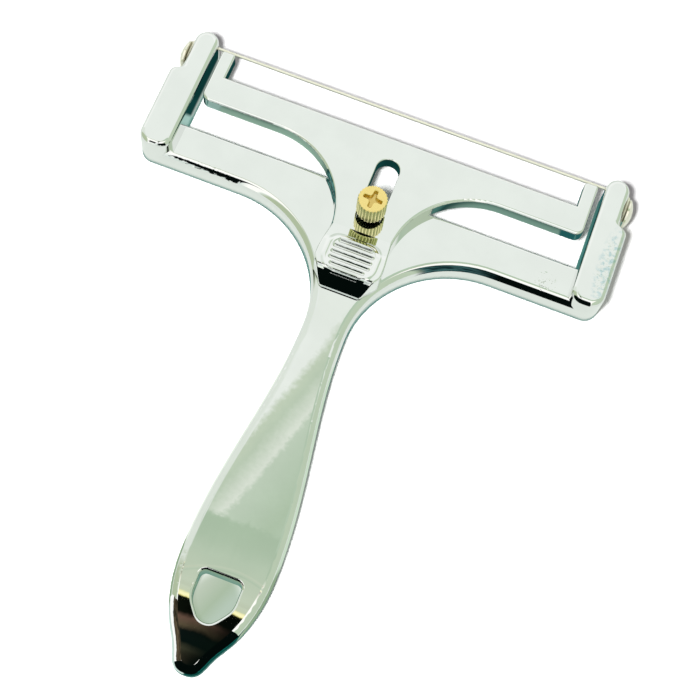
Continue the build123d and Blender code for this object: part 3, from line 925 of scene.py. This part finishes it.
@dataclass(frozen=True)
class Floor:
    """Pale paper under the slicer, white to the camera, with the slicer's shadow on it.

    Attributes:
        size: Side of the floor, in metres.
        drop: How far it lies under the slicer, in millimetres.
        glow: Its own light near the slicer, where the shadow has to show.
        glow_span: Distances from the middle between which that light grows to white.
        hole_centre: Where the handle's hole shows the surface beneath, in millimetres.
        hole_reach: Half the size of what shows there.
        hole_tone_and_shade_rows: Its colours, a greenish surface with painted shade, slanting from the far
            left to the near right.
        paper: Colour that plating shows of the floor.
        seam: Painted contact shade that plating shows where the casting meets the floor.
        contact_shade_reach: How far from the casting that painted shade starts, in millimetres.
        painted_patches: Patches of painted light and shade that plating near them shows, from the lowest
            to the topmost.
    """

    size: float = 3.0
    drop: float = 0.05
    glow: float = 0.05
    glow_span: Pair = (170.0, 420.0)
    hole_centre: Place = (0.0, -63.0, 0.0)
    hole_reach: Place = (11.0, 12.0, 5.0)
    hole_tone_and_shade_rows: Rows = (
        (-6.0, 202, 213, 198), (-2.0, 182, 197, 176), (2.0, 164, 185, 158),
        (5.0, 176, 196, 178),
    )
    paper: Colour = tone(204, 211, 204)
    seam: Colour = tone(74, 120, 112)
    contact_shade_reach: float = 1.4
    painted_patches: tuple[PaintedPatch, ...] = (
        PaintedPatch(tone(219, 227, 216), (-40.0, 0.0), (-110.0, 6.0), 2.0),
        PaintedPatch(tone(186, 204, 184), (0.0, 40.0), (-110.0, 6.0), 2.0),
        PaintedPatch(tone(132, 154, 126), (-40.0, 40.0), (-68.0, -52.0), 4.0),
        PaintedPatch(tone(190, 208, 200), (-40.0, 0.0), (-110.0, -70.0), 1.5),
        PaintedPatch(tone(10, 66, 60), (0.0, 30.0), (-110.0, -71.0), 1.0),
        PaintedPatch(tone(112, 142, 126), (-5.0, 5.0), (-59.6, -57.2), 0.6),
        PaintedPatch(tone(14, 56, 54), (-56.0, 56.0), (55.0, 84.0), 1.0),
        PaintedPatch(tone(138, 169, 152), (-51.0, -9.0), (57.6, 60.5), 2.2),
        PaintedPatch(tone(118, 152, 138), (9.0, 51.0), (57.6, 60.5), 2.2),
        PaintedPatch(tone(146, 178, 170), (-58.0, -52.5), (50.0, 60.5), 1.5),
        PaintedPatch(tone(34, 92, 92), (50.5, 58.0), (44.0, 84.0), 1.0),
    )

    def build(self) -> None:
        """Add the floor."""
        half = self.size / 2
        corners = [(-half, -half, 0.0), (half, -half, 0.0), (half, half, 0.0), (-half, half, 0.0)]
        floor = quad("floor", corners, self._material())
        floor.location.z = -self.drop * MILLIMETRE

    def _material(self) -> bpy.types.Material:
        """Build paper that is clear from below, so that the underside can be seen.

        Returns:
            The material.
        """
        material, graph = new_material("pale_paper")
        faces = {0: graph.ray("Is Camera Ray"), 1: self._reflected(graph), 2: self._seen(graph)}
        shader = graph.node("ShaderNodeMixShader", {}, faces)
        clear = graph.node("ShaderNodeBsdfTransparent")
        below = graph.node("ShaderNodeNewGeometry", output="Backfacing")
        shader = graph.node("ShaderNodeMixShader", {}, {0: below, 1: shader, 2: clear})
        graph.finish("ShaderNodeOutputMaterial", shader)
        return material

    def _seen(self, graph: Graph) -> Expression:
        """Shade the floor as the camera sees it: white, and in the handle's hole a greenish surface with
        painted shade.

        Args:
            graph: The graph to add to.

        Returns:
            The shader.
        """
        place = graph.millimetres()
        x, y, _ = graph.axes(place)
        hole = graph.blob(place, self.hole_centre, self.hole_reach)
        # Painted shade in the handle's hole over the greenish surface beneath: it glows at a fixed level,
        # darkest towards the near right.
        under = graph.ramp(x * 0.9 - y * 0.35 - 20.0, -8.0, 8.0, self.hole_tone_and_shade_rows)
        away = (x * x + y * y).math("SQRT").smooth(*self.glow_span)
        glow = graph.mix(away, grey(self.glow), grey(1.0))
        glow = graph.mix(hole, glow, graph.shade(under, 0.94))
        return self._paper(graph, glow, graph.mix(hole, grey(1.0), grey(0.04)))

    def _reflected(self, graph: Graph) -> Expression:
        """Shade the floor as the plating shows it, with painted light and shade in patches and painted
        contact shade along the casting.

        Args:
            graph: The graph to add to.

        Returns:
            The shader.
        """
        x, y, _ = graph.axes(graph.millimetres())
        colour: Any = self.paper
        # Patches of painted light and shade, which only the plating sees.
        for patch in self.painted_patches:
            colour = patch.over(graph, colour, x, y)
        # Painted contact shade where the casting meets the floor.
        reach = {"Distance": self.contact_shade_reach * MILLIMETRE}
        free = graph.node("ShaderNodeAmbientOcclusion", {"samples": 8}, reach, output="AO")
        colour = graph.mix(free.smooth(0.96, 0.62), colour, self.seam)
        return self._paper(graph, colour, graph.shade(colour, 0.3))

    @staticmethod
    def _paper(graph: Graph, glow: Any, colour: Any) -> Expression:
        """Shade matt paper with a glow of its own, which it gives in shadow too.

        Args:
            graph: The graph to add to.
            glow: Its glow.
            colour: Its colour in the lamp's light.

        Returns:
            The shader.
        """
        light = graph.node("ShaderNodeEmission", {}, {"Color": glow, "Strength": 1.0})
        matt = graph.node("ShaderNodeBsdfDiffuse", {}, {"Color": colour})
        return graph.node("ShaderNodeAddShader", {}, {0: light, 1: matt})


class Tent:
    """Tent of light round the slicer, which its plating mirrors by direction.

    Angles are in degrees. The near angle runs from straight up towards the camera's side, the
    across angle from straight up towards +X, and the side angle out of the plane x = 0.
    """

    shadow_light: Colour = (0.13, 0.115, 0.13)
    ground: Colour = (0.85, 0.87, 0.85)
    cloth: Rows = (
        (-90.0, 196, 208, 192), (-78.0, 226, 233, 226), (-62.0, 240, 244, 240),
        (-40.0, 242, 245, 241), (-31.0, 232, 238, 232), (-24.0, 230, 236, 230),
        (-21.5, 226, 233, 224), (-9.9, 170, 191, 166), (-8.7, 169, 190, 165),
        (-7.9, 180, 198, 175), (-5.2, 196, 207, 185), (-4.3, 150, 150, 110),
        (-3.6, 206, 204, 170), (-2.4, 250, 251, 246, 1.08), (26.0, 250, 252, 248, 1.05),
        (42.0, 236, 242, 238), (64.0, 222, 230, 224), (90.0, 206, 220, 212),
    )
    hem: Rows = (
        (-5.35, 197, 208, 186), (-5.04, 196, 206, 178), (-4.96, 238, 236, 180),
        (-4.89, 255, 251, 198), (-4.81, 253, 247, 190), (-4.76, 232, 224, 146),
        (-4.71, 96, 98, 38), (-4.64, 52, 68, 32), (-4.35, 96, 98, 38),
    )
    folds: Rows = (
        (-48.0, 230, 236, 230), (-40.8, 230, 236, 229), (-39.3, 192, 206, 184),
        (-37.8, 186, 202, 180), (-35.6, 206, 217, 201), (-34.4, 218, 226, 213),
        (-33.4, 190, 206, 186), (-30.0, 184, 202, 180), (-26.0, 174, 194, 169),
        (-22.0, 178, 198, 175),
    )
    room: Rows = (
        (-6.0, 6, 14, 8), (-1.6, 6, 16, 12), (-0.9, 4, 14, 12),
        (-0.2, 22, 62, 58), (1.2, 6, 18, 16), (12.0, 8, 26, 26),
        (26.0, 12, 40, 40), (40.0, 8, 24, 22), (66.0, 4, 10, 8),
        (90.0, 10, 24, 20),
    )
    wall: Rows = (
        (-6.0, 10, 14, 8), (-3.95, 12, 16, 10), (-3.7, 96, 74, 62),
        (-3.3, 84, 74, 56), (-3.05, 10, 18, 16), (-2.5, 8, 18, 16),
        (-2.2, 66, 66, 50), (-1.5, 72, 64, 50), (-1.2, 8, 18, 14),
        (2.0, 6, 20, 18),
    )

    def __init__(self) -> None:
        """Start the world, and read the direction and its angles."""
        world = bpy.data.worlds.new("tent")
        world.use_nodes = True
        bpy.context.scene.world = world
        self.graph = Graph(world.node_tree)
        self.direction = self.graph.node("ShaderNodeTexCoord", output="Generated")
        self.x, self.y, self.z = self.graph.axes(self.direction)
        self.across = self.x.math("ARCTAN2", self.z) / DEGREE
        self.side = self.x.math("ARCSINE") / DEGREE
        near = (self.y * -1.0).math("ARCTAN2", self.z) / DEGREE
        ripple = self.graph.noise(self.direction, 22.0, detail=2.0) - 0.5
        streaks = self._stretched((300.0, 14.0, 14.0), 1.0, detail=2.0) - 0.5
        calm = near.smooth(-5.4, -7.5) * 0.75 + 0.25
        self.near = near + (ripple * 0.35 + streaks * 0.45) * calm

    def build(self) -> None:
        """Light the world: a white backdrop to the camera, and the tent to everything else."""
        graph = self.graph
        light = graph.mix(self._opening(), self._sides(self._cloth()), self._room())
        light = graph.mix(self.z.smooth(0.0, -0.02), light, self.ground)
        light = graph.mix(graph.ray("Is Diffuse Ray"), light, self.shadow_light)
        light = graph.mix(graph.ray("Is Camera Ray"), light, grey(1.0))
        shader = graph.node("ShaderNodeBackground", {}, {"Color": light, "Strength": 1.0})
        graph.finish("ShaderNodeOutputWorld", shader)

    def _stretched(self, factors: Place, scale: float, **shape: float) -> Expression:
        """Read noise by direction, with a factor on the direction's part along each axis."""
        return self.graph.noise(self.graph.stretch(self.direction, factors), scale, **shape)

    def _opening(self) -> Expression:
        """Find where the tent is open to the unlit room.

        Returns:
            1 in the opening and 0 on the cloth.
        """
        near, side = self.near, self.side
        torn = (self.graph.noise(self.direction, 16.0, detail=3.0) - 0.5) * 2.6
        narrow = near.smooth(7.0, 13.0) * near.smooth(56.0, 46.0)
        left = side - narrow * 3.9 + torn * narrow
        opening = left.smooth(-9.6, -8.9) * side.smooth(-2.0, -2.7)
        return opening * near.smooth(-4.76, -4.69) * near.smooth(22.0, 19.0)

    def _cloth(self) -> Expression:
        """Colour the tent's cloth, with a golden hem along the opening and slanting folds overhead.

        Returns:
            The colour.
        """
        graph, near = self.graph, self.near
        cloth = graph.ramp(near, -90.0, 90.0, self.cloth, PLATING_GAIN)
        hem = graph.ramp(near, -5.4, -4.3, self.hem, PLATING_GAIN)
        cloth = graph.mix(near.smooth(-5.35, -5.25) * near.smooth(-4.32, -4.42), cloth, hem)
        fine = self._stretched((1.0, 1.0, 0.2), 260.0, detail=3.0) - 0.5
        lean = near + self.across * 4.0 + fine * 2.0
        folds = graph.ramp(lean, -48.0, -22.0, self.folds, PLATING_GAIN)
        grain = self._stretched((1.0, 1.0, 0.2), 30.0, detail=3.0)
        folds = graph.shade(folds, grain * 0.10 + 0.95)
        window = near.smooth(-22.8, -20.4) * (near + fine * 0.8).smooth(-9.3, -9.7)
        central = self.across.math("ABSOLUTE").smooth(34.0, 18.0)
        return graph.mix(window * central, cloth, folds)

    def _sides(self, light: Expression) -> Expression:
        """Hang the side curtains: pale on the left, and olive on the right and on the camera's side.

        Args:
            light: The cloth without them.

        Returns:
            The colour.
        """
        graph, x, y = self.graph, self.x, self.y
        left = x.smooth(-0.40, -0.52) * y.smooth(0.43, 0.38)
        low = y.smooth(0.14, 0.0)
        right = x.smooth(0.30, 0.44)
        light = graph.mix(left, light, tone(220, 228, 218, PLATING_GAIN))
        light = graph.mix(left * low, light, tone(176, 190, 160, PLATING_GAIN))
        light = graph.mix(right, light, tone(186, 202, 178, PLATING_GAIN))
        out = x.math("ABSOLUTE")
        return graph.mix(out.band(0.33, 0.05, 0.06) * low, light, tone(254, 254, 248, PLATING_GAIN * 1.05))

    def _room(self) -> Expression:
        """Colour the unlit room behind the camera, with one wall faintly lit.

        Returns:
            The colour.
        """
        graph, near = self.graph, self.near
        room = graph.ramp(near, -6.0, 90.0, self.room)
        wall = graph.ramp(near, -6.0, 2.0, self.wall)
        lit_side = (self.across + near * 0.5).smooth(-5.6, -7.4) * near.smooth(4.0, 1.0)
        smoke = self._stretched((1.0, 1.6, 0.4), 14.0, detail=4.0, distortion=0.8)
        return graph.shade(graph.mix(lit_side, room, wall), smoke.smooth(0.3, 0.62) * 0.8 + 0.5)


@dataclass(frozen=True)
class Studio:
    """Camera, floor, lamp, cards and tent.

    Attributes:
        camera_place: Where the camera stands, in millimetres.
        camera_yaw: Bearing of its view from +Y towards +X, in radians.
        camera_pitch: How far it looks down, in radians.
        camera_roll: Turn about its view, in radians.
        focal_length: For a sensor 36 mm wide.
        sensor_width: Width of the sensor, in millimetres.
        lamp_offset: Where the lamp stands from the camera, in millimetres.
        lamp_energy: Its light, which doesn't fall off with distance.
        lamp_radius: Its radius, in metres.
        cards: Sheets around the slicer, seen only in the plating, which paint dark reflections into it.
    """

    camera_place: Place = (31.267, -119.369, 348.611)
    camera_yaw: float = -10.06 * DEGREE
    camera_pitch: float = 69.05 * DEGREE
    camera_roll: float = 11.13 * DEGREE
    focal_length: float = 71.98
    sensor_width: float = 36.0
    lamp_offset: Place = (-52.0, -19.0, 0.0)
    lamp_energy: float = 50.0
    lamp_radius: float = 0.026
    cards: tuple[Card, ...] = (
        Card("right_card", CardFace.FADED, (20.0, 34.0), (67.5, 34.0), (0.0, 29.0), 24.0),
        Card("left_card", CardFace.RAGGED, (-60.5, 34.0), (-38.8, 34.0), (4.0, 35.0), 30.0),
        Card("left_end_card", CardFace.PLAIN, (-70.5, 30.0), (-65.0, 30.0), (20.0, 40.0), 32.0),
        Card("neck_left_card", CardFace.PLAIN, (-36.0, 21.0), (-9.0, 21.0), (7.2, 15.6), 14.0),
        Card("neck_card", CardFace.PLAIN, (-9.0, 21.0), (9.0, 21.0), (7.2, 11.5), 14.0),
        Card("neck_right_card", CardFace.PLAIN, (9.0, 21.0), (36.0, 21.0), (7.2, 15.6), 14.0),
        Card("pad_card", CardFace.RAGGED, (-5.6, 20.9), (4.4, 20.9), (14.4, 19.0), 8.0),
        Card("ridge_card", CardFace.RAGGED, (-24.0, 20.8), (9.0, 20.8), (19.0, 44.0), 32.0),
        Card("neck_side_card", CardFace.PLAIN, (-16.0, 27.0), (-16.0, 20.5), (7.0, 16.0), 9.0),
        Card("tip_card", CardFace.PLAIN, (-18.0, -89.0), (13.5, -89.0), (0.0, 84.0), 84.0),
        Card("right_tip_card", CardFace.TEAL_FOOT, (13.5, -89.0), (13.5, -71.0), (0.0, 84.0), 84.0, 2.5),
        Card("left_tip_card", CardFace.LIT_FOOT, (-18.0, -67.5), (-18.0, -108.0), (0.0, 70.0), 60.0, 12.5),
        *stem_cards(),
    )

    def build(self) -> None:
        """Add everything."""
        self._camera()
        Floor().build()
        self._lamp()
        for card in self.cards:
            card.build()
        LOG.info("%d cards stand round the slicer", len(self.cards))
        Tent().build()

    def _camera(self) -> None:
        """Add the camera of the photograph."""
        yaw, pitch, roll = self.camera_yaw, self.camera_pitch, self.camera_roll
        view = Vector(
            (math.sin(yaw) * math.cos(pitch), math.cos(yaw) * math.cos(pitch), -math.sin(pitch))
        )
        level = view.cross(Vector((0.0, 0.0, 1.0))).normalized()
        over = level.cross(view)
        right = math.cos(roll) * level + math.sin(roll) * over
        up = math.cos(roll) * over - math.sin(roll) * level
        turn = Matrix((right, up, -view)).transposed().to_4x4()
        data = bpy.data.cameras.new("photograph")
        data.sensor_fit = "HORIZONTAL"
        data.sensor_width = self.sensor_width
        data.lens = self.focal_length
        data.clip_start = 0.01
        camera = add("photograph", data)
        camera.matrix_world = Matrix.Translation(Vector(self.camera_place) * MILLIMETRE) @ turn
        bpy.context.scene.camera = camera

    def _lamp(self) -> None:
        """Add the lamp beside the camera, whose shadow shows as a narrow line along right-hand edges."""
        data = bpy.data.lights.new("lamp", "POINT")
        data.energy = self.lamp_energy
        data.shadow_soft_size = self.lamp_radius
        data.use_nodes = True
        graph = Graph(data.node_tree)
        even = graph.node("ShaderNodeLightFalloff", {}, {"Strength": 1.0}, output="Constant")
        glow = graph.node("ShaderNodeEmission", {}, {"Strength": even})
        graph.finish("ShaderNodeOutputLight", glow)
        lamp = add("lamp", data)
        lamp.location = (Vector(self.camera_place) + Vector(self.lamp_offset)) * MILLIMETRE
        lamp.visible_glossy = False


def main() -> None:
    """Load the slicer, dress it and light it."""
    logging.basicConfig(level=logging.INFO)
    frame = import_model()
    bpy.context.scene.view_settings.view_transform = "Standard"
    Studio().build()
    SlicerFinish(frame["nodes"]).apply()


if __name__ == "__main__":
    main()
